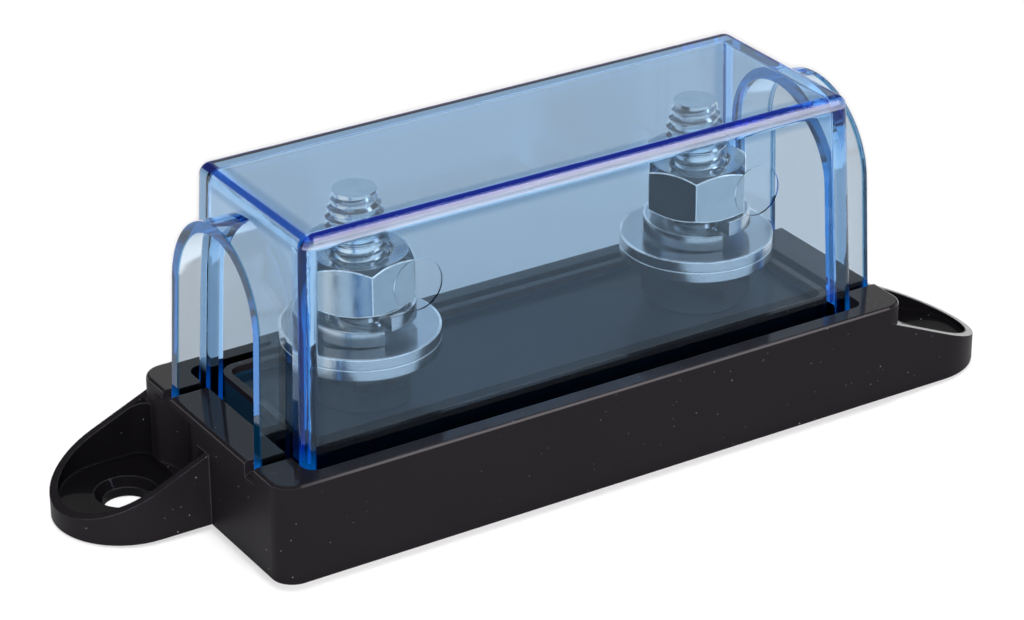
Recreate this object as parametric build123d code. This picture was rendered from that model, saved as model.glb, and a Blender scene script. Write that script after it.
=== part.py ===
from build123d import *
import math
import os

# Fuse holder for one bolt-down strip fuse: a moulded base with two M8 studs and
# a clear snap-on cover with a cable arch at each end.  Sizes in millimetres.
# Origin: middle of the underside.  +X runs along the block, +Y to its back, +Z up.

# Base block
block_length = 97.6
block_width = 39.0
block_height = 13.9
block_corner_radius = 3.0
deck_edge_radius = 0.5
lip_width = 2.55

# Cover
wall = 2.0
cover_top_length = 83.1
cover_top_width = 28.4
cover_top_z = 44.3
end_draft = 0.045
side_draft = 0.033
cover_corner_radius = 1.6
cover_edge_radius = 1.6
cavity_corner_radius = 0.6

# Groove and tray in the deck
groove_floor_z = 10.0
tray_floor_z = 13.4
rim_top_z = 14.75
rim_wall = 1.0
rim_corner_radius = 2.6
rim_taper_degrees = 8.0
fit_gap = 0.3

# Cable arches of the cover, and the notches their legs stand in
arch_radius = 11.7
arch_wall = 1.5
arch_crown_drop = 2.6
arch_centre_z = cover_top_z - arch_crown_drop - arch_radius
arch_end_x = 46.9
leg_draft = 0.02
notch_floor_z = 12.15
notch_gap_outside = 0.35
notch_gap_inside = 0.5
leg_gap = 0.15
ledge_drop = 0.55
ledge_run = 0.7

# Fixing ears
ear_radius = 9.85
ear_reach = 17.2
ear_floor = 2.4
ear_wall = 1.1
ear_rise_at_block = 10.2
ear_rise_at_tip = 2.7
bowl_corner_radius = 2.5
bowl_floor_radius = 0.25
screw_hole_radius = 3.1
screw_sink_radius = 4.2

# M8 hardware
stud_spacing = 52.7
stud_radius = 3.95
stud_roof_gap = 1.4
stud_top_z = cover_top_z - wall - stud_roof_gap
stud_end_radius = 2.9
stud_end_length = 4.0
across_flats = 13.0
nut_height = 6.8
nut_bore_radius = 4.0
head_height = 5.3
head_recess = 1.0
washer_radius = 10.45
washer_bore_radius = 4.2
washer_thickness = 1.5
lock_inner_radius = 4.3
lock_section_width = 3.0
lock_section_height = 2.0
lock_rise = 1.8
lock_end_gap = 0.05
lock_gap_degrees = 8.0
facet_radius = 6.3
facet_slope_degrees = 30.0

# Underside
head_side_gap = 0.15
shank_gap = 0.15
core_top_z = 7.0
rib = 2.0
core_corner_radius = 1.0

# Moulding marks on the cover's front wall, one near each stud
mark_spacing = 52.0
mark_shift = 0.35
mark_radius = 3.5
mark_z = 34.3
mark_depth = 0.25

# Reach of a cutting solid past the face it opens
past = 1.0


def cover_half_length(z):
    return cover_top_length / 2 + end_draft * (cover_top_z - z)


def cover_half_width(z):
    return cover_top_width / 2 + side_draft * (cover_top_z - z)


def tapered_box(bottom_z, top_z, inset, radius):
    """Drafted box that follows the cover's walls, set in by inset."""
    bottom = Plane.XY.offset(bottom_z) * RectangleRounded(
        2 * (cover_half_length(bottom_z) - inset),
        2 * (cover_half_width(bottom_z) - inset), radius)
    top = Plane.XY.offset(top_z) * RectangleRounded(
        2 * (cover_half_length(top_z) - inset),
        2 * (cover_half_width(top_z) - inset), radius)
    return loft([bottom, top])


def arch_profile(inset, bottom_z):
    """Arch outline in the YZ plane, round at the top with drafted legs."""
    radius = arch_radius - inset
    foot = radius + leg_draft * (arch_centre_z - bottom_z)
    crown = ThreePointArc((radius, arch_centre_z), (0, arch_centre_z + radius),
                          (-radius, arch_centre_z))
    legs = Polyline((-radius, arch_centre_z), (-foot, bottom_z),
                    (foot, bottom_z), (radius, arch_centre_z))
    return Plane.YZ * make_face(crown + legs)


def hex_prism(height):
    """Hexagon with the rounded corners that turning gives both its ends."""
    blank = extrude(RegularPolygon(across_flats / 2, 6, major_radius=False), height)
    outer = 1.02 * across_flats / 2 / math.cos(math.pi / 6)
    fall = (outer - facet_radius) * math.tan(math.radians(facet_slope_degrees))
    half = Plane.XZ * make_face(Polyline(
        (0, 0), (facet_radius, 0), (outer, fall), (outer, height - fall),
        (facet_radius, height), (0, height), (0, 0)))
    return blank & revolve(half, Axis.Z)


def tongue(inset, root_x):
    """Plan outline of the left ear, from root_x out to its round tip."""
    radius = ear_radius - inset
    centre_x, centre_y = ear_centre
    run = root_x - centre_x
    straight = Pos(centre_x + run / 2, centre_y) * Rectangle(run, 2 * radius)
    return straight + Pos(centre_x, centre_y) * Circle(radius)


def ear_body():
    """Left ear before hollowing: its top falls in one slope towards the tip."""
    face_x = -block_length / 2
    tip_x = face_x - ear_reach
    root_x = face_x + block_corner_radius + past
    fall = (ear_rise_at_block - ear_rise_at_tip) / ear_reach
    root_z = ear_rise_at_block + fall * (root_x - face_x)
    side = make_face(Polyline((tip_x, 0), (root_x, 0), (root_x, root_z),
                              (tip_x, ear_rise_at_tip), (tip_x, 0)))
    return extrude(tongue(0, root_x), root_z) & extrude(Plane.XZ * side, block_width,
                                                        both=True)


def ear_hollow():
    """What the left ear lacks: the bowl, and a countersunk hole in its floor."""
    outline = tongue(ear_wall, -block_length / 2)
    outline = fillet(outline.vertices().group_by(Axis.X)[-1], bowl_corner_radius)
    bowl = Pos(0, 0, ear_floor) * extrude(outline, ear_rise_at_block)
    bowl = fillet(bowl.faces().sort_by(Axis.Z)[0].edges(), bowl_floor_radius)
    sink_depth = screw_sink_radius - screw_hole_radius
    sink = Pos(0, 0, ear_floor - sink_depth / 2) * Cone(
        screw_hole_radius, screw_sink_radius, sink_depth)
    hole = extrude(Circle(screw_hole_radius), ear_floor)
    return bowl + Pos(*ear_centre) * (hole + sink)


def notch(side_x, side_y):
    """Slot for one arch leg, open at the block's end, with a small ledge there."""
    foot = arch_radius + leg_draft * (arch_centre_z - notch_floor_z)
    outer_y = foot + notch_gap_outside
    inner_y = foot - arch_wall - notch_gap_inside
    start_x = groove_half_length - past
    end_x = block_length / 2
    outline = make_face(Polyline(
        (start_x, notch_floor_z), (end_x - ledge_run, notch_floor_z),
        (end_x, notch_floor_z - ledge_drop), (end_x + past, notch_floor_z - ledge_drop),
        (end_x + past, block_height + past), (start_x, block_height + past),
        (start_x, notch_floor_z)))
    cut = Pos(0, inner_y, 0) * extrude(Plane.XZ * outline, inner_y - outer_y)
    if side_x < 0:
        cut = mirror(cut, Plane.YZ)
    if side_y < 0:
        cut = mirror(cut, Plane.XZ)
    return cut


ear_centre = (ear_radius - ear_reach - block_length / 2, block_width / 2 - ear_radius)
groove_half_length = cover_half_length(groove_floor_z) + fit_gap
groove_half_width = block_width / 2 - lip_width
rim_half_length = cover_half_length(rim_top_z) - wall - fit_gap
rim_half_width = cover_half_width(rim_top_z) - wall - fit_gap


def make_base():
    block = extrude(RectangleRounded(block_length, block_width, block_corner_radius),
                    block_height)
    block = fillet(block.faces().sort_by(Axis.Z)[-1].edges(), deck_edge_radius)

    for turn in (0, 180):
        block = block + Rot(0, 0, turn) * ear_body() - Rot(0, 0, turn) * ear_hollow()

    groove = Pos(0, 0, groove_floor_z) * extrude(
        RectangleRounded(2 * groove_half_length, 2 * groove_half_width,
                         cover_corner_radius + fit_gap), block_height)
    island = extrude(RectangleRounded(2 * rim_half_length, 2 * rim_half_width,
                                      rim_corner_radius), rim_top_z)
    block = block - (groove - island)
    for side_x in (-1, 1):
        for side_y in (-1, 1):
            block = block - notch(side_x, side_y)

    rim_height = rim_top_z - block_height
    rim = Pos(0, 0, block_height) * extrude(
        RectangleRounded(2 * rim_half_length, 2 * rim_half_width,
                         rim_corner_radius), rim_height)
    tray_depth = rim_top_z - tray_floor_z
    tray_inset = rim_wall + tray_depth * math.tan(math.radians(rim_taper_degrees))
    tray = Pos(0, 0, tray_floor_z) * extrude(
        RectangleRounded(2 * (rim_half_length - tray_inset),
                         2 * (rim_half_width - tray_inset),
                         rim_corner_radius - rim_wall), tray_depth,
        taper=-rim_taper_degrees)
    block = block + rim - tray

    pocket = extrude(RegularPolygon(across_flats / 2 + head_side_gap, 6,
                                    major_radius=False), head_recess + head_height)
    shank = extrude(Circle(stud_radius + shank_gap), block_height)
    for x in (-stud_spacing / 2, stud_spacing / 2):
        block = block - Pos(x, 0, 0) * (pocket + shank)

    for x, y, size_x, size_y in core_cells():
        cell = extrude(RectangleRounded(size_x, size_y, core_corner_radius), core_top_z)
        block = block - Pos(x, y, 0) * cell
    return block


def core_cells():
    """Hollows under the block that keep its walls even: centre and size of each."""
    pocket_room = across_flats / 2 / math.cos(math.pi / 6) + head_side_gap + rib
    row_outer = block_width / 2 - lip_width
    cells = []
    middle = stud_spacing / 2 - pocket_room
    count = 3
    size_x = (2 * middle - (count - 1) * rib) / count
    size_y = row_outer - rib / 2
    for column in range(count):
        x = -middle + size_x / 2 + column * (size_x + rib)
        for side in (-1, 1):
            cells.append((x, side * (rib / 2 + size_y / 2), size_x, size_y))
    end_start = stud_spacing / 2 + pocket_room
    end_size = block_length / 2 - lip_width - end_start
    for side_x in (-1, 1):
        x = side_x * (end_start + end_size / 2)
        for side in (-1, 1):
            cells.append((x, side * (rib / 2 + size_y / 2), end_size, size_y))
    beside_x = (2 * pocket_room - 3 * rib) / 2
    beside_y = row_outer - pocket_room
    for side_x in (-1, 1):
        for step in (-1, 1):
            x = side_x * stud_spacing / 2 + step * (beside_x + rib) / 2
            for side in (-1, 1):
                y = side * (row_outer - beside_y / 2)
                cells.append((x, y, beside_x, beside_y))
    return cells


def make_cover():
    shell = tapered_box(groove_floor_z, cover_top_z, 0, cover_corner_radius)
    shell = fillet(shell.faces().sort_by(Axis.Z)[-1].edges(), cover_edge_radius)

    leg_bottom_z = notch_floor_z + leg_gap
    hood = extrude(arch_profile(0, leg_bottom_z), block_length, both=True)
    limit_bottom = arch_end_x + end_draft * (arch_centre_z - leg_bottom_z)
    limit_top = arch_end_x - end_draft * (cover_top_z - arch_centre_z)
    limit = make_face(Polyline(
        (-limit_bottom, leg_bottom_z), (limit_bottom, leg_bottom_z),
        (limit_top, cover_top_z), (-limit_top, cover_top_z),
        (-limit_bottom, leg_bottom_z)))
    hood = hood & extrude(Plane.XZ * limit, block_width, both=True)
    shell = shell + hood

    cavity = tapered_box(groove_floor_z - past, cover_top_z - wall, wall,
                         cavity_corner_radius)
    cavity = fillet(cavity.faces().sort_by(Axis.Z)[-1].edges(), cavity_corner_radius)
    tunnel = extrude(arch_profile(arch_wall, groove_floor_z - past), block_length,
                     both=True)
    shell = shell - cavity - tunnel

    tilt = math.degrees(math.atan(side_draft))
    for side in (-1, 1):
        x = side * mark_spacing / 2 + mark_shift
        mark = Pos(x, -cover_half_width(mark_z), mark_z) * Rot(90 - tilt, 0, 0) * Cylinder(
            mark_radius, 2 * mark_depth)
        shell = shell - mark
    return shell


def make_stud():
    """Hexagon-head bolt put in from below, its head in the underside pocket."""
    head = Pos(0, 0, head_recess) * hex_prism(head_height)
    shank_length = stud_top_z - head_recess - head_height
    shank = Pos(0, 0, head_recess + head_height) * extrude(
        Circle(stud_radius), shank_length - stud_end_length)
    end = Pos(0, 0, stud_top_z - stud_end_length / 2) * Cone(
        stud_radius, stud_end_radius, stud_end_length)
    return head + shank + end


def make_nut():
    return hex_prism(nut_height) - extrude(Circle(nut_bore_radius), nut_height)


def make_washer():
    return extrude(Circle(washer_radius) - Circle(washer_bore_radius), washer_thickness)


def make_lock_washer(gap_angle):
    """Split washer, relaxed: one left-handed turn from its low end to its high end."""
    centre_radius = lock_inner_radius + lock_section_width / 2
    turn = 360 - lock_gap_degrees
    path = Helix(pitch=lock_rise, height=lock_rise * turn / 360, radius=centre_radius,
                 lefthand=True)
    section = Plane(origin=(centre_radius, 0, 0), x_dir=(1, 0, 0), z_dir=(0, -1, 0)) * (
        Rectangle(lock_section_width, lock_section_height))
    coil = sweep(section, path=path, is_frenet=True)
    coil = Rot(0, 0, gap_angle - lock_gap_degrees / 2) * coil
    return Pos(0, 0, lock_section_height / 2) * coil


lower_nut_z = tray_floor_z
lower_washer_z = lower_nut_z + nut_height
upper_washer_z = lower_washer_z + washer_thickness
lock_washer_z = upper_washer_z + washer_thickness + lock_end_gap
top_nut_z = lock_washer_z + lock_section_height + lock_rise + lock_end_gap

# How each hexagon stands: the direction of one of its corners, in degrees from +X
lower_nut_turn = {"left": -65.0, "right": -93.0}
top_nut_turn = {"left": -107.0, "right": -126.0}
lock_washer_turn = {"left": -91.0, "right": -92.0}

parts = {"base": make_base(), "cover": make_cover()}
for side, sign in (("left", -1), ("right", 1)):
    place = Pos(sign * stud_spacing / 2, 0, 0)
    parts[side + "_stud"] = place * make_stud()
    parts[side + "_lower_nut"] = place * Pos(0, 0, lower_nut_z) * Rot(
        0, 0, lower_nut_turn[side]) * make_nut()
    parts[side + "_lower_washer"] = place * Pos(0, 0, lower_washer_z) * make_washer()
    parts[side + "_upper_washer"] = place * Pos(0, 0, upper_washer_z) * make_washer()
    parts[side + "_spring_washer"] = place * Pos(0, 0, lock_washer_z) * make_lock_washer(
        lock_washer_turn[side])
    parts[side + "_top_nut"] = place * Pos(0, 0, top_nut_z) * Rot(
        0, 0, top_nut_turn[side]) * make_nut()

os.makedirs("parts", exist_ok=True)
for name, shape in parts.items():
    export_step(shape, "parts/" + name + ".step")
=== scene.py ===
import math

import bmesh
import bpy
from mathutils import Matrix, Vector


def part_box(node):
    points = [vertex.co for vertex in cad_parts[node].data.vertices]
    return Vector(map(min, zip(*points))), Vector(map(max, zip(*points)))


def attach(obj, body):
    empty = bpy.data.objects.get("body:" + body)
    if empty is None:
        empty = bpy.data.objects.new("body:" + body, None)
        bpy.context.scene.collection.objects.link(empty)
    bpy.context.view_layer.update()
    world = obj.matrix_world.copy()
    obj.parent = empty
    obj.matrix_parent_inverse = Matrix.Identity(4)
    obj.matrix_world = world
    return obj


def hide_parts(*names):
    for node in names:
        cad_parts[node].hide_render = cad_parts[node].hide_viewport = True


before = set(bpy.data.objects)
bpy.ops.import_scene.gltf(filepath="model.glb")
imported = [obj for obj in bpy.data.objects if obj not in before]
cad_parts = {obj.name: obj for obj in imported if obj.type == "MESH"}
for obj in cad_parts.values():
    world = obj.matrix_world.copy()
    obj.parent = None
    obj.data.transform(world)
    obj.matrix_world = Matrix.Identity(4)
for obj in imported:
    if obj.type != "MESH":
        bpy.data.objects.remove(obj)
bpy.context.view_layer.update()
MM = 0.001


# Sizes of the base that its box doesn't give

TRAY_FLOOR = 13.4 * MM
TRAY_HALF_LENGTH = 39.6 * MM
TRAY_HALF_WIDTH = 12.1 * MM
COVERED_HALF_LENGTH = 41.5 * MM
COVERED_HALF_WIDTH = 14.6 * MM
COVERED_LOWEST = 6.0 * MM
BLOCK_HALF_LENGTH = 48.8 * MM
EAR_RADIUS = 9.85 * MM
BOWL_RADIUS = 8.9 * MM


# Shader writing

class Value:
    """A socket that adds Math nodes when it is used in a sum."""

    def __init__(self, tree, socket):
        self.tree = tree
        self.socket = socket

    def _math(self, operation, first, second):
        node = self.tree.nodes.new("ShaderNodeMath")
        node.operation = operation
        for slot, item in zip(node.inputs, (first, second)):
            if isinstance(item, Value):
                self.tree.links.new(item.socket, slot)
            else:
                slot.default_value = item
        return Value(self.tree, node.outputs[0])

    def __add__(self, other):
        return self._math("ADD", self, other)

    def __radd__(self, other):
        return self._math("ADD", other, self)

    def __sub__(self, other):
        return self._math("SUBTRACT", self, other)

    def __rsub__(self, other):
        return self._math("SUBTRACT", other, self)

    def __mul__(self, other):
        return self._math("MULTIPLY", self, other)

    def __rmul__(self, other):
        return self._math("MULTIPLY", other, self)

    def __gt__(self, other):
        return self._math("GREATER_THAN", self, other)

    def __lt__(self, other):
        return self._math("LESS_THAN", self, other)

    def power(self, other):
        return self._math("POWER", self, other)

    def lowest(self, other):
        return self._math("MINIMUM", self, other)

    def highest(self, other):
        return self._math("MAXIMUM", self, other)

    def size(self):
        return self._math("ABSOLUTE", self, 0.0)


class Arrow(Value):
    """A vector socket, whose product with a number is a Vector Math node."""

    def __mul__(self, number):
        node = self.tree.nodes.new("ShaderNodeVectorMath")
        node.operation = "SCALE"
        self.tree.links.new(self.socket, node.inputs[0])
        node.inputs["Scale"].default_value = number
        return Arrow(self.tree, node.outputs[0])

    def __rmul__(self, number):
        return self * number


class Writer:
    """A node tree being written: one method adds any node, the rest are short forms of it."""

    def __init__(self, tree):
        self.tree = tree
        self.tree.nodes.clear()

    def node(self, kind, settings=None, **values):
        """A node of that kind: its settings, then its sockets by name, or by number as at0, at1."""
        node = self.tree.nodes.new(kind)
        for key, value in (settings or {}).items():
            setattr(node, key, value)
        for key, value in values.items():
            if key.startswith("at"):
                socket = node.inputs[int(key[2:])]
            else:
                socket = node.inputs[key.replace("_", " ")]
            if isinstance(value, Value):
                self.tree.links.new(value.socket, socket)
            else:
                socket.default_value = value
        return node

    def out(self, kind, output=0, settings=None, **values):
        """One output of a new node, by its number or name."""
        return Value(self.tree, self.node(kind, settings, **values).outputs[output])

    def place(self):
        return Arrow(self.tree, self.node("ShaderNodeTexCoord").outputs["Object"])

    def parts_of(self, vector):
        node = self.node("ShaderNodeSeparateXYZ", None, Vector=vector)
        return [Value(self.tree, node.outputs[i]) for i in range(3)]

    def noise(self, vector, scale, detail=2.0, roughness=0.5):
        return self.out("ShaderNodeTexNoise", 0, None, Vector=vector, Scale=scale, Detail=detail,
                        Roughness=roughness)

    def specks(self, vector, spacing, radius, share):
        """1 in round specks of that radius: one to a cell, in that share of the cells."""
        cells = self.node("ShaderNodeTexVoronoi", None, Vector=vector, Scale=1.0 / spacing)
        near = Value(self.tree, cells.outputs["Distance"]) < radius / spacing
        chosen = self.parts_of(Value(self.tree, cells.outputs["Color"]))[0] < share
        return near * chosen

    def step(self, value, low, high, to_low=0.0, to_high=1.0):
        """A soft step: to_low at low, to_high at high, where low may be the larger."""
        return self.out("ShaderNodeMapRange", 0, {"interpolation_type": "SMOOTHSTEP"}, Value=value,
                        From_Min=low, From_Max=high, To_Min=to_low, To_Max=to_high)

    def mix_colour(self, factor, first, second):
        """Sockets 0, 6 and 7 are the factor and the colours, and output 2 is the mixed colour."""
        return self.out("ShaderNodeMix", 2, {"data_type": "RGBA"}, at0=factor, at6=first, at7=second)

    def rounded(self, radius):
        return self.out("ShaderNodeBevel", 0, {"samples": 4}, Radius=radius)

    def bump(self, height, strength, depth, normal):
        return self.out("ShaderNodeBump", 0, None, Strength=strength, Distance=depth, Height=height,
                        Normal=normal)


class Finish(Writer):
    """A material being written."""

    def __init__(self, name):
        self.material = bpy.data.materials.new(name)
        self.material.use_nodes = True
        super().__init__(self.material.node_tree)
        self.output = self.node("ShaderNodeOutputMaterial")

    def surface(self, shader):
        self.tree.links.new(shader.socket, self.output.inputs["Surface"])
        return self.material

    def inside(self, shader):
        self.tree.links.new(shader.socket, self.output.inputs["Volume"])
        return self.material


def solid(red, green, blue):
    return (red, green, blue, 1.0)


def distance(across, along):
    return (across * across + along * along).power(0.5)


# Finishes

def moulded_black():
    """Black moulded plastic: satin where it faces up, dull on its sides, with dust and with rubbed edges
    that carry a painted highlight; a painted blue cast inside the cover's walls and painted shade in the
    ears' bowls.
    """
    f = Finish("moulded_black")
    place = f.place()
    x, y, z = f.parts_of(place)
    below_rim = z < TRAY_FLOOR + 0.4 * MM
    in_tray = (x.size() < TRAY_HALF_LENGTH) * (y.size() < TRAY_HALF_WIDTH) * below_rim
    in_tray = in_tray * (z > TRAY_FLOOR - 0.4 * MM)
    # painted blue cast: the tray and the deck inside the cover's walls are tinted as if lit through the
    # blue cover
    painted_blue_cast = (x.size() < COVERED_HALF_LENGTH) * (y.size() < COVERED_HALF_WIDTH) * below_rim
    painted_blue_cast = painted_blue_cast * (z > COVERED_LOWEST)
    flat_normal = f.out("ShaderNodeTexCoord", "Normal")
    normal_z = f.parts_of(flat_normal)[2]
    facing_up = f.step(normal_z, 0.25, 0.6)
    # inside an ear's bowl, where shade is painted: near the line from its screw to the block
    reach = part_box("base")[1]
    beyond = (x.size() - (reach.x - EAR_RADIUS)).highest(0.0)
    beside = y * (1.0 - 2.0 * (x > 0.0)) - (reach.y - EAR_RADIUS)
    shaded_bowl = (distance(beyond, beside) < BOWL_RADIUS) * (x.size() > BLOCK_HALF_LENGTH + 0.05 * MM)
    cloud = f.noise(place, 60.0, 3.0)
    grain = f.noise(place, 2600.0, 3.0, 0.6)
    # edges lighter: partly rubbed wear, partly a painted edge highlight
    rounded = f.rounded(0.25 * MM)
    edge = 1.0 - f.out("ShaderNodeVectorMath", 1, {"operation": "DOT_PRODUCT"}, at0=rounded,
                       at1=flat_normal)
    rubbed_and_highlit = f.step(edge, 0.01, 0.08) * f.step(grain * 0.5 + cloud, 0.55, 0.95) * (1.0 - in_tray)
    dust = f.specks(place, 1.7 * MM, 0.08 * MM, 0.5).highest(f.specks(place, 0.9 * MM, 0.05 * MM, 0.4))
    dust = dust * f.step(f.noise(place, 45.0), 0.35, 0.6)
    colour = f.mix_colour(cloud, solid(0.0085, 0.0070, 0.0088), solid(0.0115, 0.0100, 0.0122))
    # painted blue cast of the light through the cover
    colour = f.mix_colour(painted_blue_cast, colour, solid(0.006, 0.022, 0.045))
    # painted shade: the ears' bowls nearly black
    colour = f.mix_colour(shaded_bowl * 0.7, colour, solid(0.001, 0.001, 0.0012))
    colour = f.mix_colour(rubbed_and_highlit * 0.6, colour, solid(0.075, 0.075, 0.085))
    colour = f.mix_colour(dust * 0.8, colour, solid(0.36, 0.38, 0.42))
    sloping = f.step(normal_z, 0.25, 0.45) * f.step(normal_z, 0.98, 0.93)
    gloss = (facing_up * (0.7 - 0.38 * in_tray)).highest(sloping) * (1.0 - 0.75 * shaded_bowl)
    normal = f.bump(grain * (1.0 - in_tray), 0.08, 0.1 * MM, rounded)
    return f.surface(f.out("ShaderNodeBsdfPrincipled", 0, None, Base_Color=colour,
                           Roughness=f.step(cloud, 0.3, 0.7, 0.40, 0.48), Normal=normal, IOR=1.12,
                           Coat_Weight=gloss, Coat_Roughness=0.07, Coat_IOR=1.5))


def bright_zinc(name, dark, pale, rough, edge, relief=0.12, glint=None, shine=0.0):
    """Plated steel with painted shade on its upright sides; glint(f, facing) says where a painted glint
    glows on its edges.
    """
    f = Finish(name)
    place = f.place()
    cloud = f.noise(place, 350.0, 4.0, 0.6)
    fine = f.noise(place, 3000.0, 2.0)
    facing = f.parts_of(f.out("ShaderNodeNewGeometry", "True Normal"))[2]
    colour = f.mix_colour(cloud, dark, pale)
    # painted shade: upright faces up to a quarter darker than faces that look up or down
    colour = f.mix_colour(f.step(facing.size(), 0.6, 0.3) * 0.25, colour, solid(0, 0, 0))
    light = solid(0, 0, 0)
    # painted glint: the edges glow where glint says
    if glint:
        shining = glint(f, facing) * f.step(fine + cloud, 0.7, 1.1, 0.4, 1.0)
        light = f.mix_colour(shining, light, solid(0.88, 0.95, 1.0))
    return f.surface(f.out("ShaderNodeBsdfPrincipled", 0, None, Base_Color=colour, Metallic=1.0,
                           Roughness=f.step(cloud, 0.3, 0.7, *rough),
                           Normal=f.bump(fine * 0.4 + cloud, relief, 0.04 * MM, f.rounded(edge)),
                           Emission_Color=light, Emission_Strength=shine))


def glint_arc(f, facing):
    """Full on the arcs where a nut's flats meet its cone, faint on its upright edges: where the painted
    glint glows.
    """
    return f.step(facing.size(), 0.10, 0.30, 0.2, 1.0) * f.step(facing.size(), 0.84, 0.76)


def ring_zinc(node):
    """Stamped zinc with a painted glint glowing on its outer edge: on its upper face and, on a flat
    washer, its side too.
    """
    low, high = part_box(node)
    centre = (low + high) / 2
    outer = (high.x - low.x) / 2

    def outer_edge_glint(f, facing):
        place = f.place()
        x, y, z = f.parts_of(place)
        out = distance(x - centre.x, y - centre.y)
        upper = f.step(facing, 0.5, 0.8) * f.step(out, outer - 0.38 * MM, outer - 0.26 * MM)
        upper = upper * f.step(f.noise(place, 130.0), 0.35, 0.65, 0.15, 1.0)
        if "spring" in node:
            return upper
        side = f.step(facing.size(), 0.5, 0.3) * f.step(z, high.z - 0.20 * MM, high.z - 0.14 * MM)
        return upper.highest(side * (out > outer - 0.3 * MM))

    return bright_zinc(node + "_zinc", solid(0.60, 0.61, 0.62), solid(0.70, 0.71, 0.72), (0.14, 0.22),
                       0.16 * MM, 0.04, outer_edge_glint, 0.38)


# The cover's outer faces, in millimetres: half sizes at its top, and how far a wall leans out for
# each millimetre down. The arches' ends lean like the cover's, from their reach at the floor.
COVER_TOP = 44.3
COVER_HALF_LENGTH = 41.55
COVER_HALF_WIDTH = 14.2
END_DRAFT = 0.045
SIDE_DRAFT = 0.033
ARCH_REACH = 48.0


def clear_blue():
    """Clear tinted plastic: painted azure where it is seen along its edges, rubbed and painted with a
    pale sheen on its long ones; painted shade at its corners and along its back, and a painted glow at
    its edges.
    """
    f = Finish("clear_blue")
    # places in millimetres, and how far each lies inward of the outer faces
    x, y, z = f.parts_of(f.place() * (1 / MM))
    from_top = COVER_TOP - z
    from_end = COVER_HALF_LENGTH + END_DRAFT * from_top - x.size()
    from_side = COVER_HALF_WIDTH + SIDE_DRAFT * from_top - y.size()
    on_shell = from_end > -0.1
    on_back = y > 0.0
    on_right = x > 0.0
    above_deck = f.step(z, 15.0, 18.0)
    near_side = f.step(from_side, 1.7, 1.4)

    # the edges that are seen end on, where dark azure shade is painted: of the arches, the upright
    # corners and the top's short sides
    arch_end = f.step(x.size() + END_DRAFT * z, ARCH_REACH - 0.15, ARCH_REACH + 0.15)
    column = f.step(from_end, 0.8, 0.5) * near_side * on_shell
    end_edge = f.step(from_top, 0.65, 0.45) * f.step(from_end + 0.5 * on_right, 1.25, 1.0) * on_shell
    # the long top edges: rubbed, rougher and part metallic, with a painted pale sheen
    rubbed_and_highlit = f.step(from_top, 0.35, 0.55) * f.step(from_top, 1.7, 1.5) * f.step(from_side, 0.9, 0.7)
    rubbed_and_highlit = rubbed_and_highlit * f.step(f.noise(f.place(), 90.0, 3.0), 0.2, 0.6, 0.85, 1.0)
    # the corners' solid plastic, as wide as the walls meet there: tinted darker, partly the thick
    # plastic's own tint and partly painted shade
    across = from_top.highest(from_side).lowest(from_top.highest(from_end))
    across = across.lowest(from_side.highest(from_end))
    outside = f.step(from_top.lowest(from_side).lowest(from_end), 0.5, 0.3)
    corner_tint_and_shade = f.step(across, 3.3, 2.2) * f.step(across, 0.6, 0.9) * outside * on_shell
    # the painted dark line along the back, on the top and down both ends: painted shade
    on_end = f.step(from_end, 0.5, 0.3) * on_shell * above_deck
    back_edge = f.step(from_top, 0.65, 0.45) * f.step(from_side, 2.2, 2.0)
    back_edge = back_edge.highest(on_end * f.step(from_side, 1.35, 1.2)) * on_back
    # painted light and shade: darker corners, dark azure edges, a dark line along the back and a pale
    # sheen on the long top edges
    colour = f.mix_colour(corner_tint_and_shade, solid(1, 1, 1), solid(0.40, 0.56, 0.72))
    colour = f.mix_colour(arch_end, colour, solid(0.008, 0.14, 0.32))
    colour = f.mix_colour(back_edge, colour, solid(0.001, 0.0015, 0.006))
    colour = f.mix_colour(end_edge, colour, solid(0.003, 0.035, 0.26))
    colour = f.mix_colour(column, colour, solid(0.0002, 0.022, 0.17))
    colour = f.mix_colour(rubbed_and_highlit, colour, solid(0.93, 0.90, 0.96))

    # painted glow, as if light came out of the walls: at their feet, at the top's edges and beside the
    # dark line
    foot = f.step(z, 17.0, 12.5) * near_side * on_shell * f.step(from_end, 1.7, 1.4)
    foot = foot.highest(f.step(z, 15.5, 12.5) * arch_end).highest(column * 0.1)
    crest = f.step(from_top, 0.7, 0.5) * f.step(from_side.lowest(from_end), 1.7, 1.4)
    back_strip = f.step(from_side - 0.6 * (from_top < 0.4), 3.3, 2.9) * f.step(from_side, 0.7, 0.9)
    back_strip = back_strip * outside * on_back * on_shell * above_deck
    right_strip = f.step(from_end, 0.6, 0.8) * f.step(from_end, 3.2, 2.8)
    right_strip = right_strip * f.step(from_top, 0.5, 0.3) * on_right
    strips = back_strip.highest(right_strip * 0.45) * (1.0 - back_edge)
    light = f.mix_colour(strips, solid(0, 0, 0), solid(0.45, 0.80, 1.25))
    light = f.mix_colour(arch_end, light, solid(0.0, 0.05, 0.12))
    light = f.mix_colour(crest, light, solid(0.03, 0.05, 0.34))
    light = f.mix_colour(foot, light, solid(0.0, 0.20, 0.85))
    f.surface(f.out("ShaderNodeBsdfPrincipled", 0, None, Base_Color=colour, Roughness=rubbed_and_highlit * 0.3,
                    Metallic=rubbed_and_highlit * 0.3, IOR=1.5, Specular_IOR_Level=0.2, Transmission_Weight=1.0,
                    Specular_Tint=solid(0.50, 0.68, 0.85), Emission_Color=light,
                    Emission_Strength=0.35))
    # light lost in one metre, by colour: red soonest, so long ways through the wall turn azure
    lost = Vector((180.0, 85.0, 12.0))
    most = max(lost)
    return f.inside(f.out("ShaderNodeVolumeAbsorption", 0, None, Density=most,
                          Color=solid(*(1.0 - part / most for part in lost))))


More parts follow.
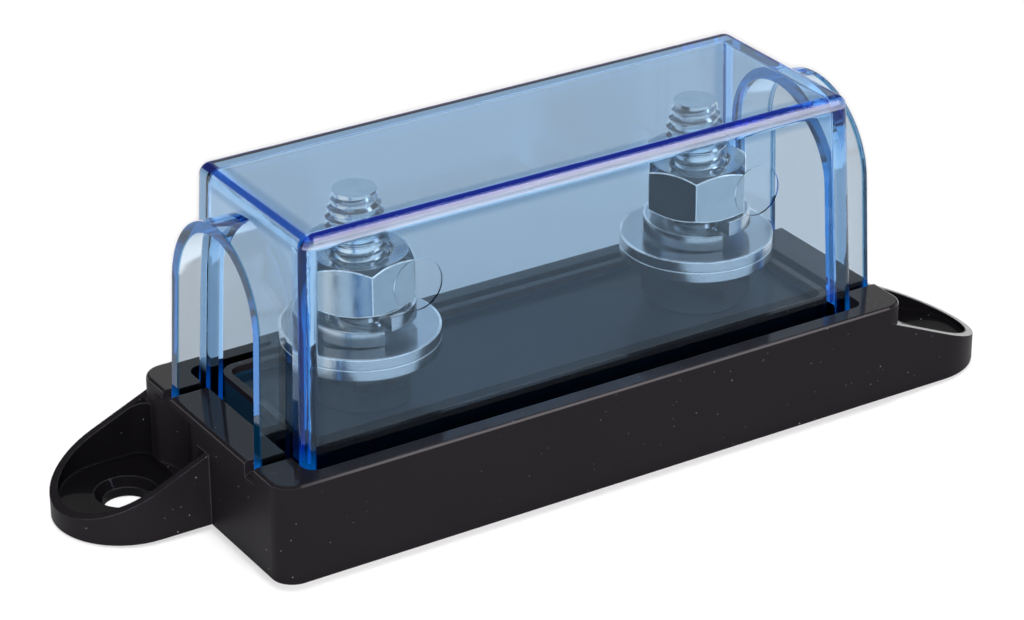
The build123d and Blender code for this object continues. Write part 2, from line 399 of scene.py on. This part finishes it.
def dress(node, material):
    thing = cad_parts[node]
    thing.data.materials.clear()
    thing.data.materials.append(material)


# Pieces

def add_object(name, data):
    thing = bpy.data.objects.new(name, data)
    bpy.context.scene.collection.objects.link(thing)
    return thing


def make_piece(name, shape, material, body, stands_for, creases=25.0):
    mesh = bpy.data.meshes.new(name)
    bmesh.ops.remove_doubles(shape, verts=shape.verts, dist=0.002 * MM)
    bmesh.ops.recalc_face_normals(shape, faces=shape.faces)
    shape.to_mesh(mesh)
    shape.free()
    mesh.shade_smooth()
    mesh.set_sharp_from_angle(angle=math.radians(creases))
    mesh.materials.append(material)
    piece = add_object(name, mesh)
    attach(piece, body)
    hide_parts(stands_for)
    return piece


def ring_of(shape, centre, points):
    """Vertices at (radius, angle, z) points round a centre."""
    return [shape.verts.new((centre.x + r * math.cos(a), centre.y + r * math.sin(a), z))
            for r, a, z in points]


def level_ring(shape, centre, radius, z, steps):
    """Vertices evenly round a centre, all at one height."""
    return ring_of(shape, centre, [(radius, 2 * math.pi * i / steps, z) for i in range(steps)])


def join_rings(shape, lower, upper):
    count = len(lower)
    for i in range(count):
        k = (i + 1) % count
        shape.faces.new((lower[i], lower[k], upper[k], upper[i]))


HEX_STEPS = 72
ACROSS_FLATS = 13.0 * MM
FACET_RADIUS = 6.3 * MM
FACET_FALL = math.tan(math.radians(30))


def hexagon(shape, centre, low, high, turn, bore, sink):
    """Hexagon with turned ends, corners at turn; a countersunk bore, or none where bore is 0.

    Returns the ring of its upper face.
    """
    angles = [math.radians(turn) + 2 * math.pi * i / HEX_STEPS for i in range(HEX_STEPS)]
    edge = []
    for i in range(HEX_STEPS):
        from_flat = math.radians(30) - (2 * math.pi * i / HEX_STEPS) % math.radians(60)
        edge.append(ACROSS_FLATS / 2 / math.cos(from_flat))
    fall = [max(0.0, r - FACET_RADIUS) * FACET_FALL for r in edge]

    def flat_ring(radius, z):
        return ring_of(shape, centre, [(radius, a, z) for a in angles])

    loops = [flat_ring(FACET_RADIUS, low),
             ring_of(shape, centre, [(r, a, low + d) for r, a, d in zip(edge, angles, fall)]),
             ring_of(shape, centre, [(r, a, high - d) for r, a, d in zip(edge, angles, fall)]),
             flat_ring(FACET_RADIUS, high)]
    if bore:
        loops += [flat_ring(sink, high), flat_ring(bore, high - (sink - bore)),
                  flat_ring(bore, low + (sink - bore)), flat_ring(sink, low)]
        loops.append(loops[0])
    for lower, upper in zip(loops, loops[1:]):
        join_rings(shape, lower, upper)
    if not bore:
        shape.faces.new(loops[0])
    return loops[3]


HEAD_HEIGHT = 5.3 * MM
STUD_RADIUS = 3.95 * MM
STUD_END_RADIUS = 2.9 * MM
STUD_END_LENGTH = 4.0 * MM
PITCH = 1.25 * MM
THREAD_DEPTH = 0.62 * MM
THREAD_STEPS = 60
# one pitch of the thread: height along it, and depth below the crest
THREAD_PROFILE = [(0.0, 1.0), (0.12, 1.0), (0.45, 0.0), (0.58, 0.0), (0.91, 1.0)]


def threaded_stud(side):
    """Hexagon-head bolt whose thread runs out in a tapered end."""
    low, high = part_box(side + "_stud")
    centre = (low + high) / 2
    head_top = low.z + HEAD_HEIGHT
    shape = bmesh.new()
    head_ring = hexagon(shape, centre, low.z, head_top, 0.0, 0.0, 0.0)
    shank = [level_ring(shape, centre, STUD_RADIUS - 0.05 * MM, z, HEX_STEPS)
             for z in (head_top, TRAY_FLOOR - 0.8 * MM)]
    join_rings(shape, head_ring, shank[0])
    join_rings(shape, shank[0], shank[1])
    shape.faces.new(shank[1])

    turns = math.ceil((high.z - TRAY_FLOOR) / PITCH) + 2
    count = turns * THREAD_STEPS
    rows = []
    for i in range(count + 1):
        angle = 2 * math.pi * i / THREAD_STEPS
        points = []
        for along, depth in THREAD_PROFILE:
            z = min(TRAY_FLOOR - PITCH + PITCH * (i / THREAD_STEPS + along), high.z)
            run_out = max(0.0, z - (high.z - STUD_END_LENGTH)) / STUD_END_LENGTH
            crest = STUD_RADIUS - (STUD_RADIUS - STUD_END_RADIUS) * run_out
            fading = min(1.0, (high.z - z) / (1.2 * MM)) * (1 - 0.35 * run_out)
            points.append((crest - THREAD_DEPTH * depth * fading, angle, z))
        rows.append(ring_of(shape, centre, points))
    for i in range(count):
        for k in range(len(THREAD_PROFILE) - 1):
            shape.faces.new((rows[i][k], rows[i + 1][k], rows[i + 1][k + 1], rows[i][k + 1]))
        if i + THREAD_STEPS + 1 <= count:
            above = rows[i + THREAD_STEPS][0], rows[i + THREAD_STEPS + 1][0]
            shape.faces.new((rows[i][-1], rows[i + 1][-1], above[1], above[0]))
    # the end face, with a shallow hollow
    rim = level_ring(shape, centre, STUD_END_RADIUS, high.z, THREAD_STEPS)
    inner = level_ring(shape, centre, STUD_END_RADIUS * 0.93, high.z, THREAD_STEPS)
    hollow = level_ring(shape, centre, STUD_END_RADIUS * 0.3, high.z - 0.10 * MM, THREAD_STEPS)
    join_rings(shape, rim, inner)
    join_rings(shape, inner, hollow)
    shape.faces.new(hollow)
    return make_piece(side + "_stud_threaded", shape, THREAD, "holder", side + "_stud")


NUT_BORE_RADIUS = 4.0 * MM
NUT_SINK_RADIUS = 4.45 * MM


def turned_nut(node, body, turn, edge_finish):
    """Nut with its corners at turn and narrow broken edges of their own finish."""
    low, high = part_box(node)
    shape = bmesh.new()
    hexagon(shape, (low + high) / 2, low.z, high.z, turn, NUT_BORE_RADIUS, NUT_SINK_RADIUS)
    piece = make_piece(node + "_turned", shape, ZINC, body, node)
    piece.data.materials.append(edge_finish)
    edges = piece.modifiers.new("edges", "BEVEL")
    edges.limit_method = "ANGLE"
    edges.angle_limit = math.radians(25)
    edges.width = 0.20 * MM
    edges.material = 1
    edges.segments = 2
    edges.harden_normals = True
    return piece


BLACK = moulded_black()
ZINC = bright_zinc("bright_zinc", solid(0.50, 0.53, 0.54), solid(0.66, 0.69, 0.70), (0.08, 0.18),
                   0.18 * MM)
# paler, rougher zinc for broken edges, with a painted glint glowing on them
WORN_GLINT = bright_zinc("worn_glint_zinc", solid(0.60, 0.63, 0.64), solid(0.80, 0.83, 0.84), (0.15, 0.30),
                   0.08 * MM, 0.12, glint_arc, 0.55)
THREAD = bright_zinc("rolled_zinc", solid(0.76, 0.79, 0.80), solid(0.94, 0.96, 0.96), (0.08, 0.22),
                     0.06 * MM)
BLUE = clear_blue()
dress("base", BLACK)
dress("cover", BLUE)
# degrees that each nut's corners stand turned, as they happened to be tightened
LOWER_TURN = {"left": -65.0, "right": -93.0}
TOP_TURN = {"left": -107.0, "right": -126.0}
for side in ("left", "right"):
    threaded_stud(side)
    turned_nut(side + "_lower_nut", "holder", LOWER_TURN[side], ZINC)
    # the top nuts' broken edges carry a painted glint
    turned_nut(side + "_top_nut", side + "_nut", TOP_TURN[side], WORN_GLINT)
    for part in ("lower_washer", "upper_washer", "spring_washer"):
        dress(side + "_" + part, ring_zinc(side + "_" + part))


# Floor, light and camera

LENS = 121.05
SENSOR = 36.0
VIEW_ANGLES = (32.039, 26.565, -0.281)
CAMERA_PLACE = Vector((-0.22046, -0.34780, 0.22361))
FILL = 50.0


def floor():
    mesh = bpy.data.meshes.new("floor")
    sheet = bmesh.new()
    bmesh.ops.create_grid(sheet, x_segments=1, y_segments=1, size=3.0)
    sheet.to_mesh(mesh)
    sheet.free()
    thing = add_object("floor", mesh)
    f = Finish("pale_floor")
    pale = f.out("ShaderNodeBsdfDiffuse", 0, None, Color=solid(0.9, 0.9, 0.9))
    mesh.materials.append(f.surface(pale))


def add_lamp(name, kind, size, energy, place, ahead):
    """Light for the floor and dull faces only; gloss and clear walls don't show it."""
    lamp = bpy.data.lights.new(name, kind)
    lamp.energy = energy
    if kind == "SUN":
        lamp.angle = size
    else:
        lamp.shadow_soft_size = size
    thing = add_object(name, lamp)
    thing.location = place
    thing.rotation_euler = ahead.to_track_quat("-Z", "Y").to_euler()
    thing.visible_glossy = False
    thing.visible_transmission = False
    thing.visible_camera = False
    return lamp


def fill_light():
    """As bright far off as near, and at the camera, so that its shadows hide behind the object."""
    lamp = add_lamp("fill", "POINT", 4 * MM, 1.0, CAMERA_PLACE, Vector((0, 0, -1)))
    lamp.use_nodes = True
    w = Writer(lamp.node_tree)
    # output 2 of the falloff is the constant one
    even = w.out("ShaderNodeLightFalloff", 2, None, Strength=FILL)
    shine = w.out("ShaderNodeEmission", 0, None, Strength=even)
    w.node("ShaderNodeOutputLight", None, Surface=shine)


def studio():
    """A dim room with a pale horizon, boxes overhead and far back, a band in front, a strip at right."""
    surround = bpy.data.worlds.new("studio")
    surround.use_nodes = True
    bpy.context.scene.world = surround
    w = Writer(surround.node_tree)
    x, y, z = w.parts_of(w.out("ShaderNodeTexCoord", "Generated"))
    horizon = w.step(z, 0.13, 0.10)
    overhead = w.step(x.size(), 0.42, 0.34) * w.step(y.size(), 0.52, 0.42) * (z > 0.0)
    back = w.step((x - 0.48).size(), 0.32, 0.18) * w.step(y, 0.48, 0.62) * w.step(z, 0.10, 0.25)
    band = w.step(z, 0.25, 0.32) * w.step(z, 0.58, 0.50) * w.step(y, 0.42, 0.30)
    strip = w.step((x - 0.49).size(), 0.09, 0.065) * w.step(z, 0.15, 0.28) * w.step(y, 0.0, -0.12)
    light = 0.03 + 0.90 * horizon + 0.08 * overhead + 0.6 * back + 0.45 * band * (1.0 - strip)
    base = w.out("ShaderNodeBackground", 0, None, Color=solid(1, 1, 1), Strength=light)
    lit = w.out("ShaderNodeBackground", 0, None, Color=solid(1.0, 0.93, 0.97), Strength=strip * 2.8)
    both = w.out("ShaderNodeAddShader", 0, None, at0=base, at1=lit)
    w.node("ShaderNodeOutputWorld", None, Surface=both)


def camera():
    data = bpy.data.cameras.new("camera")
    data.sensor_width = SENSOR
    data.lens = LENS
    data.clip_start = 0.01
    thing = add_object("camera", data)
    azimuth, elevation, roll = (math.radians(a) for a in VIEW_ANGLES)
    ahead = Vector((math.sin(azimuth) * math.cos(elevation), math.cos(azimuth) * math.cos(elevation),
                    -math.sin(elevation)))
    level = Vector((math.cos(azimuth), -math.sin(azimuth), 0.0))
    upright = level.cross(ahead)
    right = level * math.cos(roll) + upright * math.sin(roll)
    up = upright * math.cos(roll) - level * math.sin(roll)
    turn = Matrix((right, up, -ahead)).transposed().to_4x4()
    thing.matrix_world = Matrix.Translation(CAMERA_PLACE) @ turn
    bpy.context.scene.camera = thing


floor()
studio()
fill_light()
add_lamp("overhead", "SUN", math.radians(7), 1.35, Vector((0, 0, 0.5)), Vector((-0.07, -0.11, -1.0)))
camera()
bpy.context.scene.view_settings.view_transform = "Standard"
# light runs far inside the clear walls before it comes out at their edges
bpy.context.scene.cycles.max_bounces = 24
bpy.context.scene.cycles.glossy_bounces = 14
bpy.context.scene.cycles.transmission_bounces = 14
